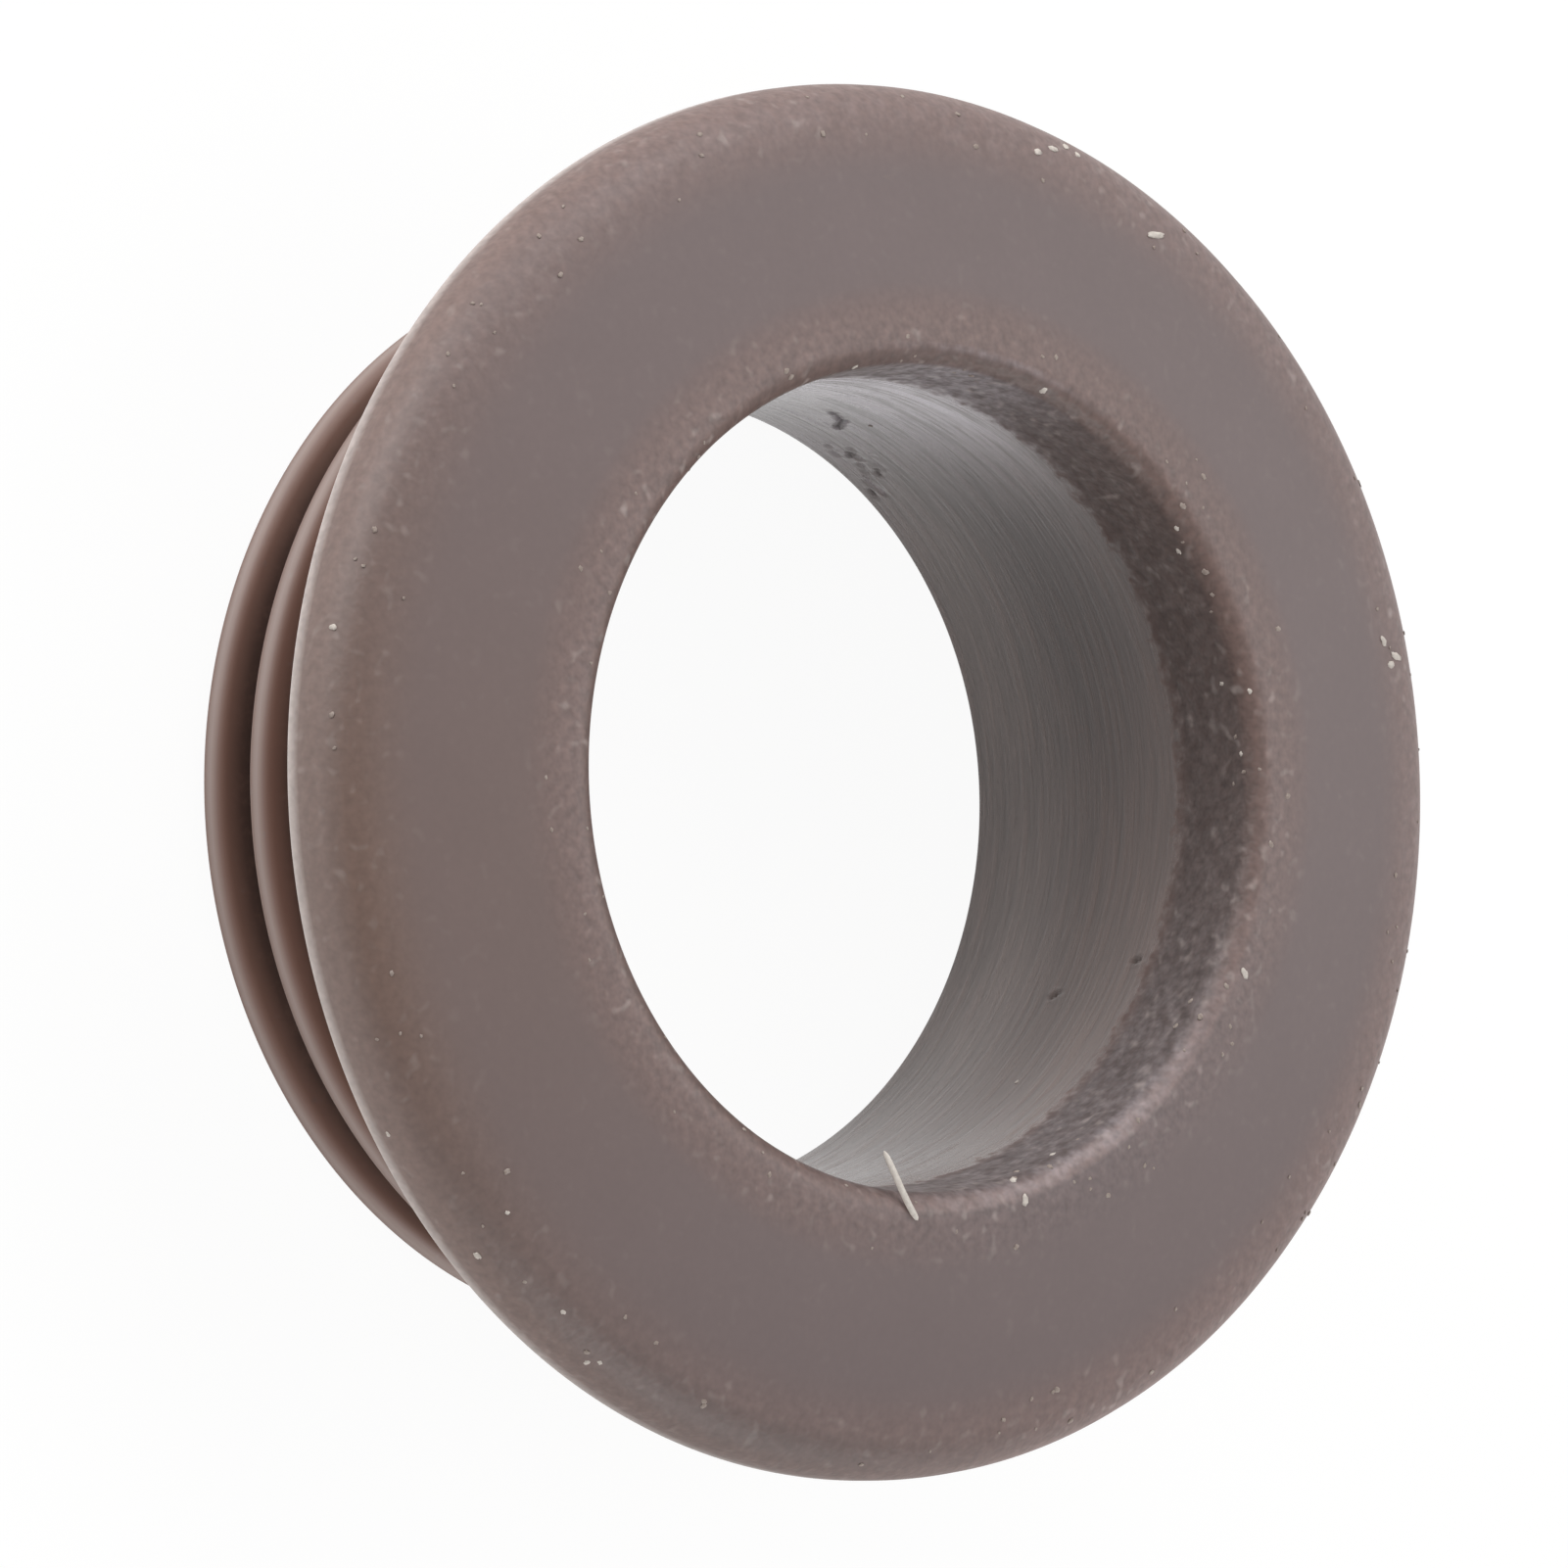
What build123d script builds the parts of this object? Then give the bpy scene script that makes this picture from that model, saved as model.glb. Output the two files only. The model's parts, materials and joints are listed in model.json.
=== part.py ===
"""Door lock pin grommet: the moulded bezel that lines the hole a door's lock pin slides in.

It is one piece of soft elastomer, round about Z.  A shallow domed head, with a rolled rim
and a rolled lip, sits on the door's trim panel.  Behind it a plain neck fills the panel
hole, and barbed rings on the barrel hold the panel from behind.

Units are millimetres.  Z = 0 is the seat, the flat back of the head where it meets the
panel.  The head rises along +Z, and the barrel runs down along -Z.
"""

import os
from math import radians, tan

from build123d import *

# Passage: a straight bore, a mouth that opens a little toward the lip, and a lead-in behind
bore_diameter = 11.0
mouth_flare = 0.12  # radius that the mouth gains on its way up to the lip
mouth_floor = 0.2  # height above the seat at which the mouth begins
rear_lead_in = 0.78  # 45 degree bevel where the bore leaves the barrel

# Head: heights are above the seat, at the corners as they would be before rounding
flange_diameter = 19.0
lip_height = 1.8
lip_roll = 0.35
rim_height = 0.95
rim_roll = 0.85
face_crown = 0.06  # bulge of the domed face above a straight cone

# Barrel, with retaining rings: each has a steep flank toward the panel and a ramp behind
neck_wall = 0.9
ring_count = 2
panel_grip = 3.3  # from the seat to the first ring's crest
ring_pitch = 1.25
ring_height = 1.16  # first crest above the neck
ring_step = 0.12  # each further crest stands this much lower
ring_land = 0.24  # width of a crest before its edge is rounded
ring_flank_lean = 8  # degrees that the flank leans away from square
ring_ramp_angle = 50  # degrees between the ramp and the barrel's axis
ring_edge_round = 0.24  # crest's edge toward the panel; the edge behind stays sharp
tip_length = 0.26  # from the last crest to the barrel's end

bore_radius = bore_diameter / 2
flange_radius = flange_diameter / 2
neck_radius = bore_radius + neck_wall


def crest_radius(ring):
    """Radius over one ring's crest, counted from the panel."""
    return neck_radius + ring_height - ring * ring_step


def crest_front(ring):
    """Z of the edge of a ring's crest that faces the panel."""
    return -panel_grip - ring * ring_pitch


def crest_back(ring):
    """Z of the edge of a ring's crest that faces the barrel's end."""
    return crest_front(ring) - ring_land


def corner(sketch, radius, z):
    """The corner of a section that lies nearest to a radius and a height."""
    return sketch.vertices().sort_by_distance((radius, z, 0))[0]


barrel_length = tip_length - crest_back(ring_count - 1)

with BuildPart() as grommet:
    with BuildSketch(Plane.XZ) as section:
        # Head: flat seat, upright rim, domed face and the mouth's wall
        lip = (bore_radius + mouth_flare, lip_height)
        rim = (flange_radius, rim_height)
        with BuildLine():
            Polyline(rim, (flange_radius, 0), (bore_radius, 0), (bore_radius, mouth_floor), lip)
            SagittaArc(lip, rim, face_crown)
        make_face()
        fillet(corner(section, *lip), lip_roll)
        fillet(corner(section, *rim), rim_roll)

        # Barrel wall
        with Locations((bore_radius, 0)):
            Rectangle(neck_wall, barrel_length, align=(Align.MIN, Align.MAX))

        # Retaining rings, each rooted at the middle of the barrel's wall
        root = neck_radius - neck_wall / 2
        for ring in range(ring_count):
            crest = crest_radius(ring)
            flank_run = (crest - root) * tan(radians(ring_flank_lean))
            ramp_run = (crest - root) / tan(radians(ring_ramp_angle))
            with BuildLine():
                Polyline(
                    (root, crest_front(ring) + flank_run),
                    (crest, crest_front(ring)),
                    (crest, crest_back(ring)),
                    (root, crest_back(ring) - ramp_run),
                    close=True,
                )
            make_face()

        # The last ramp is cut off square with the barrel's end
        with Locations((0, -barrel_length)):
            Rectangle(flange_diameter, barrel_length, align=(Align.MIN, Align.MAX), mode=Mode.SUBTRACT)

        chamfer(corner(section, bore_radius, -barrel_length), rear_lead_in)

        # Each crest is rounded toward the panel, so that it eases out of the mould
        for ring in range(ring_count):
            fillet(corner(section, crest_radius(ring), crest_front(ring)), ring_edge_round)
    revolve(axis=Axis.Z)

grommet.part.label = "grommet"

os.makedirs("parts", exist_ok=True)
export_step(grommet.part, "parts/grommet.step")
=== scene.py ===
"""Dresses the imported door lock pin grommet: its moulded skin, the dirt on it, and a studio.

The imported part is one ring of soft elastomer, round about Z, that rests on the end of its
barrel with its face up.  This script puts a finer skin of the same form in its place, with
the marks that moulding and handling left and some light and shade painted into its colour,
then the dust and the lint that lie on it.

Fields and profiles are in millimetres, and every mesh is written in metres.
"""
import json
import logging
import math
from dataclasses import dataclass
from enum import Enum
import bmesh
import bpy
import numpy as np
from mathutils import Matrix, Vector


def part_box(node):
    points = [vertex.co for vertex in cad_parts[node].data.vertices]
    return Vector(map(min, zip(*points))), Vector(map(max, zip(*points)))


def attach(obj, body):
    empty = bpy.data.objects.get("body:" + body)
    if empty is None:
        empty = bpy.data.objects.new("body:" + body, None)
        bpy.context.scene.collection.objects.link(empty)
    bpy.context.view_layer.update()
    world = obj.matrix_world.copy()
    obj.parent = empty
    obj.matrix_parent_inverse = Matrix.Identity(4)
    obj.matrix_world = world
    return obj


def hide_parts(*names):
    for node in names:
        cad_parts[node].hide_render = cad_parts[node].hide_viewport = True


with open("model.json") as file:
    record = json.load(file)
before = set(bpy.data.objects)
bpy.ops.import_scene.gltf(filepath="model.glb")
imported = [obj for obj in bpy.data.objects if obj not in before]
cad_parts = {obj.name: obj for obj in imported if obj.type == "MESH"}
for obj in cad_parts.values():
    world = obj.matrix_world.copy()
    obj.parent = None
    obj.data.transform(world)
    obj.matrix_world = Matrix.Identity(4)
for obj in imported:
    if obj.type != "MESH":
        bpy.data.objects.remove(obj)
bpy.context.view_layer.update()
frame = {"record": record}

MM = 1e-3  # metres in a millimetre
ARC_TURN = 0.22  # greatest turn between two samples of an arc, in radians
BORE_SPACING = 0.28  # distance between samples in the bore, as a share of the distance elsewhere
BODY = "root"
NODE = "grommet"
Socket = bpy.types.NodeSocket
log = logging.getLogger("grommet")


def linear(hex_colour: str) -> tuple[float, float, float, float]:
    """Turns an sRGB hex colour to the linear RGBA that shader sockets take.

    Each channel c is c/12.92 below 0.04045, and ((c + 0.055)/1.055)^2.4 above it.

    Args:
        hex_colour: six hex digits after a #.

    Returns:
        Linear red, green, blue and an alpha of 1.
    """
    digits = hex_colour.lstrip("#")
    channels = np.array([int(digits[i:i + 2], 16) / 255 for i in (0, 2, 4)])
    curved = np.where(channels <= 0.04045, channels / 12.92, ((channels + 0.055) / 1.055) ** 2.4)
    return (*(float(c) for c in curved), 1.0)


def add(tree: bpy.types.NodeTree, kind: str, feeds: dict | None = None, **settings) -> bpy.types.Node:
    """Adds a node, sets it up and feeds its sockets.

    Args:
        tree: the node tree that gets the node.
        kind: the node's type name.
        feeds: socket name or number, to a plain value or to the output that is linked in.
        settings: attributes of the node itself.

    Returns:
        The new node.
    """
    node = tree.nodes.new(kind)
    for name, value in settings.items():
        setattr(node, name, value)
    for key, value in (feeds or {}).items():
        if isinstance(value, Socket):
            tree.links.new(value, node.inputs[key])
        else:
            node.inputs[key].default_value = value
    return node


def new_material(name: str) -> bpy.types.Material:
    """Makes a material with an empty node tree.

    Args:
        name: name of the material.

    Returns:
        The new material.
    """
    material = bpy.data.materials.new(name)
    material.use_nodes = True
    material.node_tree.nodes.clear()
    return material


def smooth_step(low: float, high: float, value: np.ndarray) -> np.ndarray:
    """Rises from 0 at low to 1 at high along 3t^2 - 2t^3, and is flat beyond both."""
    t = np.clip((value - low) / (high - low), 0, 1)
    return t * t * (3 - 2 * t)


def turned_by(angle: np.ndarray, centre_deg: float) -> np.ndarray:
    """Signed angle from a centre given in degrees, wrapped to half a turn each way, in radians."""
    return (angle - math.radians(centre_deg) + math.pi) % (2 * math.pi) - math.pi


def around(angle: np.ndarray, centre_deg: float, spread_deg: float) -> np.ndarray:
    """Bell over the angle, exp(-(turn / spread)^2): 1 at its centre and 0 far round from it."""
    return np.exp(-(turned_by(angle, centre_deg) / math.radians(spread_deg)) ** 2)


def mesh_object(name: str, points_mm: np.ndarray, faces: np.ndarray) -> bpy.types.Object:
    """Puts points and faces into a smooth-shaded mesh object at the origin.

    Args:
        name: name of the object and its mesh.
        points_mm: one row of x, y and z for each vertex, in millimetres.
        faces: one row of vertex numbers for each face, in outward order and all as long.

    Returns:
        The linked object.
    """
    mesh = bpy.data.meshes.new(name)
    mesh.vertices.add(len(points_mm))
    mesh.vertices.foreach_set("co", (points_mm * MM).astype(np.float32).ravel())
    mesh.loops.add(faces.size)
    mesh.loops.foreach_set("vertex_index", faces.astype(np.int32).ravel())
    mesh.polygons.add(len(faces))
    mesh.polygons.foreach_set("loop_start", np.arange(0, faces.size, faces.shape[1], dtype=np.int32))
    mesh.update(calc_edges=True)
    mesh.validate()
    mesh.polygons.foreach_set("use_smooth", np.ones(len(faces), bool))
    made = bpy.data.objects.new(name, mesh)
    bpy.context.scene.collection.objects.link(made)
    return made


def grid_faces(rows: int, columns: int, rows_close: bool) -> np.ndarray:
    """Quads of a grid of vertices whose columns close on themselves.

    Vertex number is row * columns + column.  Each face takes a vertex, the next one along its
    row, and the two above them, with the last column joined to the first.

    Args:
        rows: how many rows of vertices there are.
        columns: how many vertices each row has.
        rows_close: whether the last row is joined to the first.

    Returns:
        One row of four vertex numbers for each face.
    """
    row = np.arange(rows if rows_close else rows - 1)[:, None]
    column = np.arange(columns)[None, :]
    above, beside = (row + 1) % rows, (column + 1) % columns
    corners = (
        row * columns + column,
        row * columns + beside,
        above * columns + beside,
        above * columns + column,
    )
    return np.stack(np.broadcast_arrays(*corners), axis=-1).reshape(-1, 4)


class Zone(Enum):
    """Parts of the skin that look different.

    Each value names the vertex attribute that says how far a point belongs to the zone.
    """

    BLASTED = "blasted"  # lip and rim: their part of the cavity was blasted with fine grit
    BLOOM = "bloom"  # face: smooth, greyed by a thin bloom of its own wax and by a painted sheen
    ERODED_SHADE = "eroded"  # mouth: spark-eroded, coarse and dull, and painted darker as shade
    DRAWN = "drawn"  # bore: the core pin's polish, with the lines that it was turned to
    REAR_BOUNCE = "rear"  # rear end of the bore, painted paler as light bounced up from the floor
    CHALK_AND_GLINT = "chalked"  # chalk dried in the bore's lines and thinly on the rim, and a painted reflection at the top of the bore and mouth
    LIP_EDGE_SHADE = "lip_edge"  # painted shade: a dark line on the lip's inner roll, and the lip darker where it slopes from the light
    FLOW = "flow"  # rim: warmer brown on one side
    PAINTED_HIGHLIGHT = "rubbed"  # painted highlights on thin edges: the rings' crests and the flange's back edge, and a paler side of the rim
    PAINTED_SHADE = "soiled"  # painted shade, deep in the grooves and on one side of the rim
    CUT = "cut"  # inside of the nicks


@dataclass(frozen=True)
class Profile:
    """The section's outline as samples, in millimetres: where each is and which way it faces."""

    radius: np.ndarray
    height: np.ndarray
    out_radial: np.ndarray
    out_axial: np.ndarray

    def nearest(self, radius: np.ndarray, height: np.ndarray) -> np.ndarray:
        """Drops places onto the outline.

        The foot of a place p on the stretch from a to b is a + t (b - a), with t the share
        (p - a).(b - a) / |b - a|^2 held between 0 and 1, and the nearest foot of all is taken.

        Args:
            radius: one radius for each place.
            height: one height for each place.

        Returns:
            One row for each place: radius, height, and the outline's facing there.
        """
        outline = np.stack([self.radius, self.height, self.out_radial, self.out_axial], axis=1)
        ahead = np.roll(outline, -1, axis=0) - outline
        places = np.stack([radius, height], axis=1)
        offset = places[:, None] - outline[None, :, :2]
        square = np.maximum((ahead[:, :2] ** 2).sum(axis=1), 1e-12)
        share = np.clip((offset * ahead[:, :2]).sum(axis=2) / square, 0, 1)
        feet = outline + share[..., None] * ahead
        gap = np.linalg.norm(feet[..., :2] - places[:, None], axis=2)
        return feet[np.arange(len(places)), gap.argmin(axis=1)]


@dataclass(frozen=True)
class Section:
    """The turned section that the whole ring is swept from, in millimetres.

    Heights are above the seat, the flat back of the head.  The bore, the neck, the flange and
    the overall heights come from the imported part, and the fields below are the rest.
    """

    bore_radius: float
    bore_length: float
    neck_radius: float
    panel_grip: float
    flange_radius: float
    barrel_end: float
    mouth_floor: float = 0.2
    mouth_floor_round: float = 0.3
    mouth_flare: float = 0.12
    rear_lead_in: float = 0.78
    rear_round: float = 0.05
    tip_round: float = 0.03
    lip_height: float = 1.79
    lip_roll: float = 0.35
    rim_height: float = 0.95
    rim_roll: float = 0.85
    face_crown: float = 0.06
    seat_edge_round: float = 0.09
    root_round: float = 0.14
    ring_height: float = 1.16
    ring_step: float = 0.12
    ring_pitch: float = 1.25
    ring_land: float = 0.24
    ring_lean_deg: float = 8.0
    ring_ramp_deg: float = 50.0
    ring_front_round: float = 0.24
    ring_back_round: float = 0.06
    valley_round: float = 0.04
    ring_count: int = 2

    @classmethod
    def from_frame(cls, record: dict) -> "Section":
        """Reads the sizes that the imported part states.

        Args:
            record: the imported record, whose mounts give the bore and the neck.

        Returns:
            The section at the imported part's sizes.
        """
        mounts = {mount["name"]: mount for mount in record["mounts"]}
        low, high = (np.array(corner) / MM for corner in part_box(NODE))
        bore, neck = mounts["pin_bore"]["dims"], mounts["panel_neck"]["dims"]
        return cls(
            bore_radius=bore["r_mm"],
            bore_length=bore["length_mm"],
            neck_radius=neck["r_mm"],
            panel_grip=neck["length_mm"],
            flange_radius=round(float(max(high[:2])), 3),
            barrel_end=round(float(low[2]), 3),
        )

    def ring_corners(self) -> list[tuple[float, float, float]]:
        """Corners of the retaining rings, from the rear one up to the panel's side of the first.

        Returns:
            Four corners for each ring: its ramp's foot, its crest's back and front, and its
            flank's root, each as radius, height and rounding.
        """
        corners = []
        for ring in reversed(range(self.ring_count)):
            height = self.ring_height - ring * self.ring_step
            crest = self.neck_radius + height
            front = -self.panel_grip - ring * self.ring_pitch
            back = front - self.ring_land
            root = front + height * math.tan(math.radians(self.ring_lean_deg))
            foot = back - height / math.tan(math.radians(self.ring_ramp_deg))
            corners += [
                (self.neck_radius, foot, self.root_round),
                (crest, back, self.ring_back_round),
                (crest, front, self.ring_front_round),
                (self.neck_radius, root, self.root_round),
            ]
        return corners

    def corners(self) -> np.ndarray:
        """Corners of the outline, walked with the rubber on the left.

        The walk goes out along the seat, over the head, down the bore, across the barrel's end
        and up the rings and the neck.  Where a ramp meets the flank of the ring behind it, or
        the barrel's end, the two corners at the neck give way to the point where they cross.

        Returns:
            One row for each corner: radius, height and rounding.
        """
        rings = self.ring_corners()
        tip = self.barrel_end
        ramp = math.tan(math.radians(self.ring_ramp_deg))
        rear_crest = rings[1]
        tip_radius = rear_crest[0] - (rear_crest[1] - tip) * ramp
        walked = [
            (self.neck_radius, 0.0, self.root_round),
            (self.flange_radius, 0.0, self.seat_edge_round),
            (self.flange_radius, self.rim_height, self.rim_roll),
            self.crown_corner(),
            (self.bore_radius + self.mouth_flare, self.lip_height, self.lip_roll),
            (self.bore_radius, self.mouth_floor, self.mouth_floor_round),
            (self.bore_radius, self.mouth_floor - self.bore_length, self.rear_round),
            (self.bore_radius + self.rear_lead_in, tip, self.rear_round),
            (tip_radius, tip, self.tip_round),
            *rings[1:3],
            self.valley(rings[3], rings[4]),
            *rings[5:],
        ]
        return np.array(walked)

    def crown_corner(self) -> tuple[float, float, float]:
        """Where the two ends of the domed face would meet if they ran on straight.

        An arc that bulges by its crown over a chord has end tangents that cross at twice the
        crown above the chord's middle.  The rounding leaves both ends room for their rolls.

        Returns:
            Radius, height and rounding of the crossing.
        """
        rim = np.array([self.flange_radius, self.rim_height])
        lip = np.array([self.bore_radius + self.mouth_flare, self.lip_height])
        half_chord = (lip - rim) / 2
        half_length = float(np.hypot(*half_chord))
        outward = np.array([half_chord[1], -half_chord[0]]) / half_length
        crossing = rim + half_chord + 2 * self.face_crown * outward
        half_turn = 2 * self.face_crown / half_length
        return (*(float(v) for v in crossing), (half_length - self.rim_roll) / half_turn)

    def valley(
        self, flank_root: tuple[float, float, float], ramp_foot: tuple[float, float, float],
    ) -> tuple[float, float, float]:
        """Where the rear ring's flank and the front ring's ramp cross, above the neck.

        The flank rises from its crest at the lean, and the ramp falls from its crest at the
        ramp's angle.  Both are straight, so the radius is where their heights agree.

        Args:
            flank_root: corner where the flank would meet the neck.
            ramp_foot: corner where the ramp would meet the neck.

        Returns:
            Radius, height and rounding of the crossing.
        """
        lean = math.tan(math.radians(self.ring_lean_deg))
        rise = 1 / math.tan(math.radians(self.ring_ramp_deg))
        above_neck = (flank_root[1] - ramp_foot[1]) / (lean + rise)
        height = flank_root[1] - above_neck * lean
        return (self.neck_radius + above_neck, height, self.valley_round)

    def profile(self, spacing: float) -> Profile:
        """Samples the rounded outline.

        Each corner becomes an arc tangent to its two sides: it starts rounding * tan(turn / 2)
        before the corner and turns evenly.  Straight stretches are sampled at the spacing, and
        the bore more closely, because its lines and nicks are fine.

        Args:
            spacing: distance between samples on straight stretches.

        Returns:
            The closed outline, without a repeated last sample.
        """
        corners = self.corners()
        place, rounding = corners[:, :2], corners[:, 2]
        ahead = np.roll(place, -1, axis=0) - place
        length = np.hypot(*ahead.T)
        ahead = ahead / length[:, None]
        behind = np.roll(ahead, 1, axis=0)
        cross = behind[:, 0] * ahead[:, 1] - behind[:, 1] * ahead[:, 0]
        turn = np.arctan2(cross, (behind * ahead).sum(axis=1))
        reach = rounding * np.tan(np.abs(turn) / 2)
        samples, facing = [], []
        for i in range(len(place)):
            arc_steps = max(3, math.ceil(abs(turn[i]) / ARC_TURN), math.ceil(2 * reach[i] / spacing))
            share = np.linspace(0, 1, arc_steps + 1)
            heading = math.atan2(behind[i, 1], behind[i, 0]) + turn[i] * share
            normal = np.stack([np.sin(heading), -np.cos(heading)], axis=1)
            side = np.sign(turn[i])
            centre = place[i] - behind[i] * reach[i] - side * rounding[i] * normal[0]
            arc = centre + side * rounding[i] * normal
            follower = (i + 1) % len(place)
            run = length[i] - reach[i] - reach[follower]
            in_bore = np.allclose(place[[i, follower], 0], self.bore_radius)
            steps = max(1, math.ceil(run / (spacing * (BORE_SPACING if in_bore else 1))))
            along = np.linspace(0, 1, steps + 1)[1:-1, None]
            straight = arc[-1] + ahead[i] * run * along
            samples += [arc, straight]
            facing += [normal, np.repeat(normal[-1:], len(straight), axis=0)]
        radius, height = np.concatenate(samples).T
        out_radial, out_axial = np.concatenate(facing).T
        return Profile(radius, height, out_radial, out_axial)


@dataclass(frozen=True)
class Nick:
    """A cut in the bore's wall, from one place to another, each an angle in degrees and a height.

    Its zone says what shows in it: the torn rubber, or the chalk that has filled it.
    """

    start: tuple[float, float]
    end: tuple[float, float]
    width: float = 0.08
    depth: float = 0.04
    zone: Zone = Zone.CUT

    def across(self, angle: np.ndarray, height: np.ndarray, radius: float) -> np.ndarray:
        """Distance of each point from the cut's middle, in half widths.

        The wall is unrolled, so that a place is radius * angle along and height up, and the
        distance is the one to the stretch between the two ends.

        Args:
            angle: angle of each point about the axis, in radians.
            height: height of each point.
            radius: radius of the wall that is cut.

        Returns:
            0 along the middle, and 1 at the cut's edges.
        """
        place = np.stack([turned_by(angle, self.start[0]) * radius, height - self.start[1]], axis=-1)
        span = math.radians(self.end[0] - self.start[0]) * radius
        stretch = np.array([span, self.end[1] - self.start[1]])
        share = np.clip(place @ stretch / (stretch @ stretch), 0, 1)
        return np.linalg.norm(place - share[..., None] * stretch, axis=-1) / (self.width / 2)

    def sunk(self, across: np.ndarray) -> np.ndarray:
        """Depth of the surface at u half widths off: depth * (exp(-u^2) - 0.4 exp(-4 (u - 1.5)^2)).

        The second term is the rubber that the cut pushed up beside it.
        """
        return self.depth * (np.exp(-across ** 2) - 0.4 * np.exp(-4 * (across - 1.5) ** 2))


@dataclass(frozen=True)
class Elastomer:
    """Injection-moulded thermoplastic elastomer, brown all through.

    A soft rubber with a dull skin.  Its wax bloom and a painted sheen grey the face, the lip
    and rim are finely grained with painted glints, the mouth is coarse and painted darker as
    shade, and the bore is smooth enough to mirror what is bright below it at a low angle.
    Painted highlights lie on thin edges and painted shade in the grooves, and the bore has a
    painted reflection at its top and painted bounced light at its rear.
    """

    brown: str = "#75574c"
    grained: str = "#77635e"
    # grey of the face: its wax bloom together with a painted sheen
    bloom_and_sheen_tone: str = "#695b5a"
    # painted shade on the mouth's wall
    shaded: str = "#504340"
    drawn: str = "#6f5f5a"
    # pale of the light painted as bounced into the rear of the bore
    painted_light: str = "#ac9f9b"
    # pale of dried chalk, and of the painted reflection at the top of the bore
    chalk_and_glint_tone: str = "#ded9e1"
    # dark of the painted shade on the lip
    lip_shade: str = "#58443e"
    warm_rim_brown: str = "#69544b"
    # pale of the painted highlights on thin edges
    rubbed: str = "#ded4d0"
    # dark of the painted shade in the grooves and on the rim
    soiled: str = "#28160f"
    # pale of the painted glints
    glint: str = "#b4a8a3"
    torn: str = "#2e221e"
    ior: float = 1.5
    satin: float = 0.52
    dull: float = 0.68
    glazed: float = 0.5
    polished: float = 0.17
    scored: float = 0.34
    # Sizes of the patterns.  The real grit, pits and lines are finer, and are drawn as coarse as
    # they need to show.
    grit_mm: float = 0.12
    fleck_mm: float = 0.17
    erosion_mm: float = 0.2
    line_mm: float = 0.11
    mottle_mm: float = 1.4

    def build(self, name: str) -> bpy.types.Material:
        """Builds the material.

        Args:
            name: name of the material.

        Returns:
            The material, which reads one attribute of the skin for each Zone.
        """
        material = new_material(name)
        tree = material.node_tree
        place = add(tree, "ShaderNodeTexCoord").outputs["Object"]
        mm = add(tree, "ShaderNodeVectorMath", {0: place, "Scale": 1 / MM}, operation="SCALE").outputs[0]
        zone = {
            kind: add(tree, "ShaderNodeAttribute", attribute_name=kind.value).outputs["Fac"]
            for kind in Zone
        }
        # Lines run round the bore, so their pattern is stretched across and squeezed along it.
        turned = add(tree, "ShaderNodeMapping", {
            "Vector": mm, "Scale": (0.7 * self.line_mm, 0.7 * self.line_mm, 1.0)}).outputs[0]
        grit, flecks, pits, mottle, lines = (
            add(tree, "ShaderNodeTexNoise", {
                "Vector": coordinates, "Scale": 1 / size, "Detail": detail, "Roughness": 0.6}).outputs["Fac"]
            for coordinates, size, detail in (
                (mm, self.grit_mm, 1.0), (mm, self.fleck_mm, 0.0), (mm, self.erosion_mm, 2.0),
                (mm, self.mottle_mm, 3.0), (turned, self.line_mm, 3.5))
        )

        def ramp(value: Socket, none_at: float, full_at: float) -> Socket:
            """Goes smoothly from 0 at one value to 1 at the other."""
            return add(tree, "ShaderNodeMapRange", {
                "Value": value, "From Min": none_at, "From Max": full_at},
                interpolation_type="SMOOTHSTEP").outputs[0]

        def times(first: Socket, second: Socket | float) -> Socket:
            """Product of two values."""
            return add(tree, "ShaderNodeMath", {0: first, 1: second}, operation="MULTIPLY").outputs[0]

        def uneven(pattern: Socket, share: Socket | float) -> Socket:
            """Pattern less its mean, times a share, so that it adds no step where the share ends."""
            centred = add(tree, "ShaderNodeMath", {0: pattern, 1: 0.5}, operation="SUBTRACT").outputs[0]
            return times(centred, share)

        # The polish of the bore gives out raggedly where the mouth begins.
        ragged = add(tree, "ShaderNodeMath", {
            0: pits, 1: 1.6, 2: zone[Zone.DRAWN]}, operation="MULTIPLY_ADD").outputs[0]
        drawn = ramp(ragged, 1.0, 1.6)
        # Painted glints: pale specks where the fleck pattern is high.
        glinting = times(ramp(flecks, 0.6, 0.9), ramp(mottle, 0.35, 0.6))
        glaze = ramp(pits, 0.2, 0.85)
        streaks = ramp(lines, 0.36, 0.62)
        # The chalk and the painted reflection follow the lines in the bore, and the coarse pits elsewhere,
        # as the painted shade in the grooves does.
        patchy = add(tree, "ShaderNodeMix", {0: drawn, 2: glaze, 3: streaks}, data_type="FLOAT").outputs[0]

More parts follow.
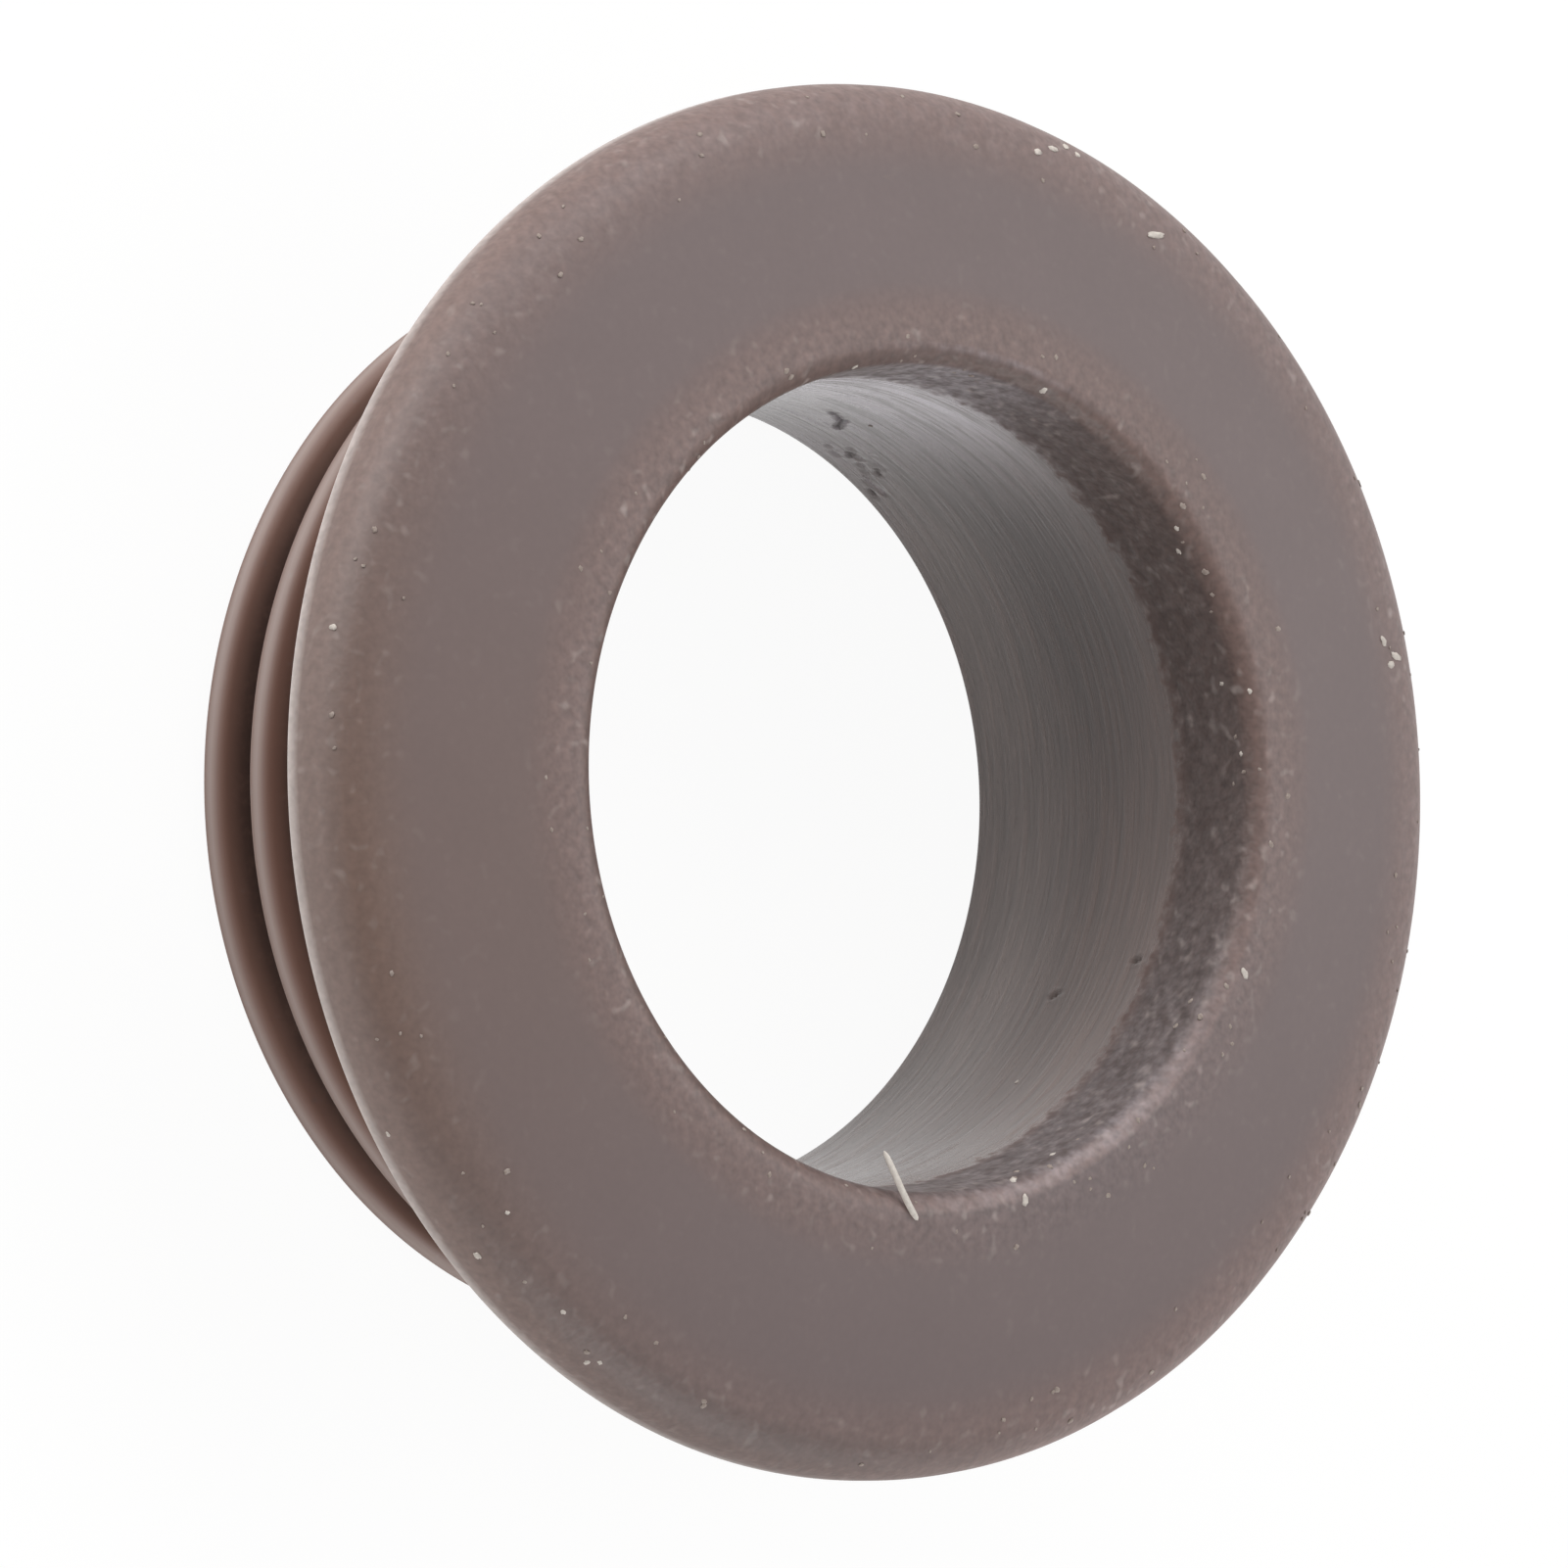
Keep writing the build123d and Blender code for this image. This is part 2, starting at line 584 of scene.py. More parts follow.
        colour = linear(self.brown)
        for share, tone in (
            (zone[Zone.BLASTED], self.grained),
            # The face is greyed by its wax bloom and by a painted sheen.
            (zone[Zone.BLOOM], self.bloom_and_sheen_tone),
            # Painted shade: the mouth's wall is darker.
            (zone[Zone.ERODED_SHADE], self.shaded),
            (drawn, self.drawn),
            # Painted light: the rear of the bore is paler, as if lit from the floor below.
            (times(drawn, zone[Zone.REAR_BOUNCE]), self.painted_light),
            # Chalk in the bore's lines, with a painted reflection of the bright floor at the top of the bore
            # and mouth.
            (times(zone[Zone.CHALK_AND_GLINT], ramp(patchy, -0.5, 1.0)), self.chalk_and_glint_tone),
            # Painted shade: a dark line on the lip's inner roll, and the lip darker on one side.
            (zone[Zone.LIP_EDGE_SHADE], self.lip_shade),
            # The rim is warmer brown on one side.
            (zone[Zone.FLOW], self.warm_rim_brown),
            # Painted glints on the grit of the lip and rim, and on the pits of the mouth.
            (times(glinting, times(zone[Zone.BLASTED], 0.45)), self.glint),
            (times(glaze, times(zone[Zone.ERODED_SHADE], 0.05)), self.glint),
            # Painted highlights on the rings' crests, the flange's back edge and one side of the rim.
            (zone[Zone.PAINTED_HIGHLIGHT], self.rubbed),
            # Painted shade deep in the grooves between the rings, and on one side of the rim.
            (times(zone[Zone.PAINTED_SHADE], ramp(patchy, 2.4, 0.2)), self.soiled),
            (zone[Zone.CUT], self.torn),
        ):
            colour = add(tree, "ShaderNodeMix", {
                0: share, 6: colour, 7: linear(tone)}, data_type="RGBA").outputs[2]
        # Grain, pits and lines also lighten and darken what they lie on, by a fifth at most, and
        # the whole skin is faintly mottled.
        for pattern, share, strength in (
            (grit, zone[Zone.BLASTED], 0.95),
            (pits, zone[Zone.ERODED_SHADE], 0.45),
            (lines, drawn, 1.0),
            (mottle, 1.0, 0.12),
        ):
            value = add(tree, "ShaderNodeMath", {
                0: uneven(pattern, share), 1: strength, 2: 1.0}, operation="MULTIPLY_ADD").outputs[0]
            colour = add(tree, "ShaderNodeHueSaturation", {"Value": value, "Color": colour}).outputs[0]

        roughness = self.satin
        for share, level in (
            (zone[Zone.ERODED_SHADE], self.dull),
            (times(zone[Zone.ERODED_SHADE], glaze), self.glazed),
            (drawn, self.polished),
            (times(drawn, ramp(lines, 0.45, 0.7)), self.scored),
            (zone[Zone.PAINTED_SHADE], self.dull),
            (zone[Zone.CUT], self.dull),
        ):
            roughness = add(tree, "ShaderNodeMix", {
                0: share, 2: roughness, 3: level}, data_type="FLOAT").outputs[0]

        normal = None
        for pattern, share, strength, relief_mm in (
            (grit, zone[Zone.BLASTED], 0.5, 0.03),
            (pits, zone[Zone.ERODED_SHADE], 0.4, 0.05),
            (lines, drawn, 0.45, 0.03),
        ):
            feeds = {"Height": uneven(pattern, share), "Strength": strength, "Distance": relief_mm * MM}
            normal = add(tree, "ShaderNodeBump", feeds | ({"Normal": normal} if normal else {})).outputs[0]

        surface = add(tree, "ShaderNodeBsdfPrincipled", {
            "Base Color": colour, "Roughness": roughness, "IOR": self.ior, "Normal": normal})
        add(tree, "ShaderNodeOutputMaterial", {"Surface": surface.outputs[0]})
        return material


@dataclass(frozen=True)
class Lint:
    """Cotton lint and house dust: off-white, quite matt and never quite even.

    The attribute named by `soiling` says how far a grain has taken on the rubber's own colour.
    """

    pale: str = "#ece5dc"
    soiled: str = "#94867e"
    roughness: float = 0.8
    ior: float = 1.47
    clump_mm: float = 0.05
    soiling: str = "soiling"

    def build(self, name: str) -> bpy.types.Material:
        """Builds the material.

        Args:
            name: name of the material.

        Returns:
            The material, which reads the soiling of each point.
        """
        material = new_material(name)
        tree = material.node_tree
        place = add(tree, "ShaderNodeTexCoord").outputs["Object"]
        cloudy = add(tree, "ShaderNodeTexNoise", {
            "Vector": place, "Scale": 1 / (self.clump_mm * MM), "Detail": 2.0})
        soiling = add(tree, "ShaderNodeAttribute", attribute_name=self.soiling).outputs["Fac"]
        share = add(tree, "ShaderNodeMath", {
            0: cloudy.outputs["Fac"], 1: 0.5, 2: soiling}, operation="MULTIPLY_ADD", use_clamp=True)
        tint = add(tree, "ShaderNodeMix", {
            0: share.outputs[0], 6: linear(self.pale), 7: linear(self.soiled)}, data_type="RGBA")
        fuzz = add(tree, "ShaderNodeBump", {
            "Height": cloudy.outputs["Fac"], "Strength": 0.6, "Distance": 0.02 * MM})
        surface = add(tree, "ShaderNodeBsdfPrincipled", {
            "Base Color": tint.outputs[2], "Roughness": self.roughness, "IOR": self.ior,
            "Normal": fuzz.outputs[0]})
        add(tree, "ShaderNodeOutputMaterial", {"Surface": surface.outputs[0]})
        return material


@dataclass
class Skin:
    """The moulded ring itself, as one closed surface of revolution with its small faults."""

    section: Section
    finish: Elastomer
    columns: int = 480
    spacing: float = 0.27
    waviness: float = 0.012  # how far soft edges wander from a true circle
    # Columns of vertices crowd here: centre and spread in degrees, and gain
    crowded: tuple[tuple[float, float, float], ...] = ((149.0, 10.0, 3.0), (58.0, 5.0, 2.0))
    # Sides of the ring that have their own look: centre and spread in degrees
    chalk_and_glint_side: tuple[float, float] = (166.0, 21.5)  # top of the bore and mouth: the most chalk, and a painted reflection
    less_bounce_side: tuple[float, float] = (-5.0, 40.0)  # rear of the bore is painted less pale on this side
    lip_highlight_side: tuple[float, float] = (25.0, 42.0)  # lip's inner edge is painted pale as a highlight, without the dark line
    lip_shade_side: tuple[float, float] = (125.0, 40.0)  # lip is painted darker as shade
    lit_rim_side: tuple[float, float] = (-80.0, 65.0)  # rim has less grain and is painted paler on this side, as lit from it
    dustless_side: tuple[float, float] = (-60.0, 85.0)  # rim has no dried dust
    warm_rim_side: tuple[float, float] = (-84.0, 38.0)  # rim shows the flow mark
    rim_shade_side: tuple[float, float] = (-17.0, 26.0)  # rim is painted darker, as shade
    nicks: tuple[Nick, ...] = (
        Nick((158.6, -2.56), (155.4, -2.70)),
        Nick((155.4, -2.70), (153.4, -3.05), depth=0.05),
        Nick((55.8, -1.57), (55.0, -1.68)),
        Nick((60.8, -0.05), (60.3, -0.15)),
        Nick((147.5, -3.42), (144.6, -3.50), 0.08, 0.025, Zone.CHALK_AND_GLINT),
        Nick((146.4, -3.56), (145.4, -3.66), 0.08, 0.03),
        Nick((145.0, -3.22), (141.6, -3.30), 0.07, 0.02, Zone.CHALK_AND_GLINT),
        Nick((143.4, -3.62), (140.2, -3.78), 0.09, 0.03, Zone.CHALK_AND_GLINT),
        Nick((148.8, -3.78), (146.0, -3.90), 0.08, 0.025, Zone.CHALK_AND_GLINT),
        Nick((141.8, -3.44), (140.4, -3.52), 0.07, 0.03),
        Nick((139.8, -3.90), (136.6, -3.80), 0.09, 0.03, Zone.CHALK_AND_GLINT),
        Nick((137.6, -4.00), (135.9, -4.06), 0.08, 0.03),
    )

    def angles(self) -> np.ndarray:
        """Angles of the columns, closer together where the wall is nicked.

        The density of columns is 1 + gain * exp(-(turn / spread)^2), summed over the crowded
        places, and the angles are where its running total passes equal steps.

        Returns:
            One angle for each column, in radians.
        """
        fine = np.linspace(0, 2 * math.pi, 3601)
        density = 1 + sum(gain * around(fine, centre, spread) for centre, spread, gain in self.crowded)
        total = np.append(0, np.cumsum((density[1:] + density[:-1]) / 2))
        return np.interp(np.arange(self.columns) / self.columns * total[-1], total, fine)

    def surface(self, outline: Profile) -> tuple[np.ndarray, dict[Zone, np.ndarray]]:
        """Works out every vertex and the share of each zone.

        A point at sample i of the outline and angle a is (r cos a, r sin a, z).  It is moved
        along its own normal by the waviness, three slow cosines of the angle that only pull
        inwards, and by what the nicks sink.

        Args:
            outline: the sampled section.

        Returns:
            The points, row by row, and one value for each point and zone.
        """
        angle, height = np.meshgrid(self.angles(), outline.height)
        radius = np.broadcast_to(outline.radius[:, None], angle.shape)
        zones = self.zones(outline, angle)
        wall = ((outline.radius < self.section.bore_radius + 0.16) & (outline.out_radial < -0.7))[:, None]
        sunk = np.zeros(angle.shape)
        for nick in self.nicks:
            across = nick.across(angle, height, self.section.bore_radius)
            zones[nick.zone] = np.maximum(zones[nick.zone], 0.8 * np.exp(-across ** 2) * wall)
            sunk = sunk + nick.sunk(across) * wall
        lobes = sum(
            weight * (np.cos(count * angle + phase) - 1) / 2
            for count, weight, phase in ((2, 0.5, 0.7), (3, 0.3, 2.1), (7, 0.2, 4.0))
        )
        soft = smooth_step(self.section.neck_radius, self.section.neck_radius + 1, radius)
        moved = self.waviness * lobes * soft - sunk
        radius = radius + moved * outline.out_radial[:, None]
        height = height + moved * outline.out_axial[:, None] * (outline.height[:, None] > 0.01)
        points = np.stack([radius * np.cos(angle), radius * np.sin(angle), height], axis=-1)
        return points.reshape(-1, 3), zones

    def zones(self, outline: Profile, angle: np.ndarray) -> dict[Zone, np.ndarray]:
        """Share of each zone at every point, from 0 to 1.

        Args:
            outline: the sampled section.
            angle: angle of every point, one row for each sample of the outline.

        Returns:
            One array for each zone, shaped as the angles are.  The cuts are still empty.
        """
        section = self.section
        radius, height, out_radial = (
            column[:, None] for column in (outline.radius, outline.height, outline.out_radial)
        )
        painted_light, clear, lip_highlight, lip_shade, lit_rim, dustless, flow, rim_shade = (
            around(angle, *side) for side in (
                self.chalk_and_glint_side, self.less_bounce_side, self.lip_highlight_side, self.lip_shade_side,
                self.lit_rim_side, self.dustless_side, self.warm_rim_side, self.rim_shade_side)
        )
        above = height > 0.02
        inner = (out_radial < -0.2) & (radius < section.neck_radius - 0.05)
        to_mouth = smooth_step(section.mouth_floor - 0.3, section.mouth_floor + 0.3, height)
        drawn, mouth = inner * (1 - to_mouth), inner * to_mouth
        lip = 1 - smooth_step(section.bore_radius + 0.55, section.bore_radius + 1.3, radius)
        rim = smooth_step(section.flange_radius - 1.3, section.flange_radius - 0.4, radius)
        side = above * smooth_step(0.7, 0.97, out_radial)
        face = above * (1 - inner)
        roll_turn = -out_radial * above * (lip > 0)  # 1 on the mouth's wall, 0 on the lip's crest
        edge = 0.75 * smooth_step(0.0, 0.6, roll_turn) * (1 - smooth_step(0.85, 0.99, roll_turn))
        to_back_edge = np.hypot(radius - section.flange_radius, height)
        fronts = [corner for corner in section.ring_corners() if corner[2] == section.ring_front_round]
        to_crests = [
            np.hypot(radius - front[0], height - front[1] + section.ring_land / 2) for front in fronts
        ]
        past_grip = -section.panel_grip - height
        groove = (
            (out_radial > -0.5)
            * smooth_step(-0.45, -0.1, past_grip)
            * (height > section.barrel_end + 0.01)
        )
        step_down = section.ring_step * smooth_step(0.3, 1.2, past_grip)
        below_crest = section.neck_radius + section.ring_height - step_down - radius
        shares = {
            Zone.BLASTED: above * (1 - drawn) * (0.1 + 0.9 * lip + 0.7 * rim * (1 - 0.5 * lit_rim)),
            # Face: wax bloom with a painted sheen, less of it on the lip and rim.
            Zone.BLOOM: face * (1 - 0.75 * (lip * (1 - lip_highlight) + rim * (1 - lit_rim))) * (1 - 0.9 * side),
            # Mouth: coarse and dull, and painted darker as shade.
            Zone.ERODED_SHADE: mouth * smooth_step(0.6, 0.95, roll_turn),
            Zone.DRAWN: drawn,
            # Rear of the bore: painted bounced light, less of it on one side.
            Zone.REAR_BOUNCE: inner * smooth_step(1.4, 3.8, -height) * (1 - 0.6 * clear),
            # Bore and mouth: chalk in the lines and a painted reflection at the top; thin chalk on the rim.
            Zone.CHALK_AND_GLINT: drawn * np.minimum(1.25 * painted_light, 1)
            + mouth * np.maximum(0.32 * painted_light ** 2, 0.1 * lip_highlight)
            + 0.12 * edge * lip_highlight
            + 0.05 * above * rim * (1 - dustless),
            # Lip: painted shade on the inner roll, stronger at the top, and on the side that slopes from the
            # light.
            Zone.LIP_EDGE_SHADE: np.maximum(
                edge * (1 - lip_highlight) * (1 + 0.3 * painted_light), 0.25 * above * lip * lip_shade),
            Zone.FLOW: face * (1 - lip) * (0.4 + 0.6 * rim) * flow * (1 - 0.5 * side),
            # Painted highlights on thin edges, and a paler rim side where the light falls.
            Zone.PAINTED_HIGHLIGHT: 0.1 * side * lit_rim
            + 0.85 * np.exp(-(to_back_edge / 0.16) ** 2)
            + 0.34 * sum(np.exp(-(gap / 0.09) ** 2) for gap in to_crests),
            # Painted shade: deep in the ring grooves, and on one side of the rim.
            Zone.PAINTED_SHADE: groove * smooth_step(0.18, 0.56, below_crest)
            + 0.46 * above * smooth_step(0.2, 0.6, out_radial) * rim_shade,
            Zone.CUT: 0.0,
        }
        return {
            zone: np.array(np.broadcast_to(share, angle.shape), float) for zone, share in shares.items()
        }

    def build(self) -> bpy.types.Object:
        """Builds the skin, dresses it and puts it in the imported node's place.

        Returns:
            The finished object.
        """
        points, zones = self.surface(self.section.profile(self.spacing))
        rows = len(points) // self.columns
        skin = mesh_object("grommet_skin", points, grid_faces(rows, self.columns, rows_close=True))
        for zone, values in zones.items():
            made = skin.data.attributes.new(zone.value, "FLOAT", "POINT")
            made.data.foreach_set("value", values.astype(np.float32).ravel())
        skin.data.materials.append(self.finish.build("moulded_elastomer"))
        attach(skin, BODY)
        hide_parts(NODE)
        return skin


@dataclass
class Dust:
    """Grains and flakes of house dust that cling to the head and to the mouth."""

    outline: Profile
    finish: Lint
    grains: int = 160
    seed: int = 11
    widest: float = 0.1
    flatness: float = 0.35  # thickness as a share of the width
    lumpiness: float = 0.22
    flake_soiling: float = 0.15
    grain_soiling: float = 0.7
    # Flakes that can be told apart: angle in degrees, radius, height, length and heading in degrees
    flakes: tuple[tuple[float, float, float, float, float], ...] = (
        (-105.4, 9.38, 0.72, 0.11, 80), (-50.8, 9.42, 0.65, 0.12, 20), (60.4, 6.00, 1.74, 0.17, 60),
        (20.7, 5.58, 1.34, 0.10, 0), (11.3, 5.62, 1.55, 0.13, 40), (11.1, 5.92, 1.74, 0.17, 70),
        (124.4, 5.64, 1.57, 0.08, 0), (121.0, 5.59, 1.40, 0.10, 30), (100.6, 5.58, 1.30, 0.08, 90),
        (99.0, 5.74, 1.68, 0.08, 10), (90.5, 5.60, 1.48, 0.07, 0), (154.8, 5.69, 1.64, 0.12, 60),
        (-172.6, 5.64, 1.57, 0.10, 20), (39.0, 5.50, -1.25, 0.08, 0), (153.0, 5.50, -2.34, 0.08, 90),
        (-63.3, 9.49, 0.43, 0.08, 0), (-52.7, 8.92, 1.10, 0.07, 45), (-42.3, 9.18, 0.96, 0.08, 10),
        (-37.0, 9.39, 0.71, 0.10, 80), (-36.3, 9.32, 0.82, 0.08, 0), (99.9, 8.63, 1.18, 0.16, 20),
        (98.2, 8.85, 1.13, 0.22, 60), (97.6, 8.70, 1.16, 0.14, 80), (145.6, 8.77, 1.15, 0.34, 35),
        (156.5, 9.27, 0.87, 0.14, 50), (158.3, 9.12, 1.00, 0.17, 10), (155.3, 9.22, 0.91, 0.12, 70),
        (160.2, 8.97, 1.09, 0.14, 30),
    )

    def places(self) -> np.ndarray:
        """Chooses where the grains lie.

        The scattered ones gather at the lip and at the rim.  Their lengths grow as the square
        of an even draw, so that most are small.

        Returns:
            One row for each grain, laid out as the flakes are.
        """
        random = np.random.default_rng(self.seed)
        share = random.random((4, self.grains))
        at_lip = np.arange(self.grains) % 2 == 0
        radius = np.where(at_lip, 5.62 + 0.9 * share[1] ** 1.5, 9.46 - 1.1 * share[1] ** 1.5)
        height = np.where(at_lip, 1.7, 0.9) - 0.4 * share[3] * at_lip
        length = 0.05 + 0.06 * share[2] ** 2
        scattered = np.stack([360 * share[0], radius, height, length, 180 * share[3]], axis=1)
        return np.concatenate([np.array(self.flakes), scattered])

    def build(self) -> bpy.types.Object:
        """Builds every grain as a small lump of one mesh, half sunk in the skin.

        A lump is a ball whose points u are stretched to (length, width, thickness) along three
        directions: its heading, across it, and out of the surface.

        Returns:
            The finished object.
        """
        ball = bmesh.new()
        bmesh.ops.create_icosphere(ball, subdivisions=2, radius=0.5)
        unit = np.array([vertex.co[:] for vertex in ball.verts])
        corners = np.array([[vertex.index for vertex in face.verts] for face in ball.faces])
        ball.free()
        angle, radius, height, length, heading = self.places().T
        foot_radius, foot_height, out_radial, out_axial = self.outline.nearest(radius, height).T
        angle, heading = np.radians(angle), np.radians(heading)
        zero = np.zeros_like(angle)
        radial = np.stack([np.cos(angle), np.sin(angle), zero], axis=1)
        sideways = np.stack([-np.sin(angle), np.cos(angle), zero], axis=1)
        out = out_radial[:, None] * radial + out_axial[:, None] * np.array([0, 0, 1])
        across = np.cross(out, sideways)
        along = np.cos(heading)[:, None] * sideways + np.sin(heading)[:, None] * across
        beside = np.cross(out, along)
        foot = foot_radius[:, None] * radial + foot_height[:, None] * np.array([0, 0, 1])
        number = np.arange(len(angle))
        lumps = np.sin(unit @ np.array([9.0, 5.0, 7.0]) + number[:, None] * 1.7)
        shaped = unit[None] * (1 + self.lumpiness * lumps)[..., None]
        width = np.minimum(0.75 * length, self.widest)
        size = np.stack([length, width, self.flatness * width], axis=1)
        axes = np.stack([along, beside, out], axis=1)
        points = foot[:, None] + np.einsum("gpk,gk,gkc->gpc", shaped, size, axes)
        faces = corners[None] + (number * len(unit))[:, None, None]
        dust = mesh_object("dust", points.reshape(-1, 3), faces.reshape(-1, corners.shape[1]))
        soiling = dust.data.attributes.new(self.finish.soiling, "FLOAT", "POINT")
        soiled = np.where(number < len(self.flakes), self.flake_soiling, self.grain_soiling)
        soiling.data.foreach_set("value", np.repeat(soiled, len(unit)).astype(np.float32))
        dust.data.materials.append(self.finish.build("house_dust"))
        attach(dust, BODY)
        return dust


@dataclass
class Fibre:
    """One short fibre of lint that lies across the lip, with its inner end out over the bore."""

    finish: Lint
    stations: int = 28
    columns: int = 8
    thickness: float = 0.092
    # Outer end, the two controls and the inner end of its curve
    route: tuple[tuple[float, float, float], ...] = (
        (5.95, -0.72, 1.735), (5.72, -0.93, 1.79), (5.40, -1.02, 1.76), (4.98, -1.16, 1.66),
    )

    def build(self) -> bpy.types.Object:
        """Builds the fibre as a tube along a cubic curve, thinner and blunt at both ends.

        The curve is the sum over its four controls of B_k(t) p_k, with B the Bernstein weights
        (1-t)^3, 3 t (1-t)^2, 3 t^2 (1-t) and t^3.  The tube's radius is half the thickness
        times (1 - (2t - 1)^8)^(1/2), held above a tenth.

        Returns:
            The finished object.
        """
        t = np.linspace(0, 1, self.stations)
        weights = np.stack([(1 - t) ** 3, 3 * t * (1 - t) ** 2, 3 * t ** 2 * (1 - t), t ** 3], axis=1)
        middle = weights @ np.array(self.route)
        ahead = np.gradient(middle, axis=0)
        ahead = ahead / np.linalg.norm(ahead, axis=1, keepdims=True)
        side = np.cross(ahead, np.array([0, 0, 1]))
        side = side / np.linalg.norm(side, axis=1, keepdims=True)
        over = np.cross(side, ahead)
        radius = self.thickness / 2 * np.maximum(np.sqrt(1 - (2 * t - 1) ** 8), 0.1)
        turn = np.arange(self.columns) * (2 * math.pi / self.columns)
        ring = np.cos(turn)[:, None] * side[:, None] + np.sin(turn)[:, None] * over[:, None]
        points = (middle[:, None] + radius[:, None, None] * ring).reshape(-1, 3)
        cap = np.array([(0, 1, 2, 3), (0, 3, 4, 7), (4, 5, 6, 7)])
        last = (self.stations - 1) * self.columns
        faces = np.concatenate([
            grid_faces(self.stations, self.columns, rows_close=False), cap[:, ::-1], cap + last])
        fibre = mesh_object("lint_fibre", points, faces)
        fibre.data.materials.append(self.finish.build("cotton_lint"))
        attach(fibre, BODY)
        return fibre


@dataclass(frozen=True)
class Lamp:
    """A soft lamp that stands off the object and faces it, in millimetres and watts."""

    name: str
    towards: tuple[float, float, float]  # direction from the object
    distance: float
    width: float
    height: float
    watts: float

    def build(self) -> bpy.types.Object:
        """Hangs the lamp, with its own Z away from the object, because a lamp shines along -Z.

        Returns:
            The lamp.
        """
        data = bpy.data.lights.new(self.name, "AREA")
        data.shape = "RECTANGLE"
        data.size, data.size_y = self.width * MM, self.height * MM
        data.energy = self.watts
        made = bpy.data.objects.new(self.name, data)
        direction = Vector(self.towards).normalized()
        made.location = direction * self.distance * MM
        made.rotation_euler = direction.to_track_quat("Z", "Y").to_euler()
        bpy.context.scene.collection.objects.link(made)
        return made


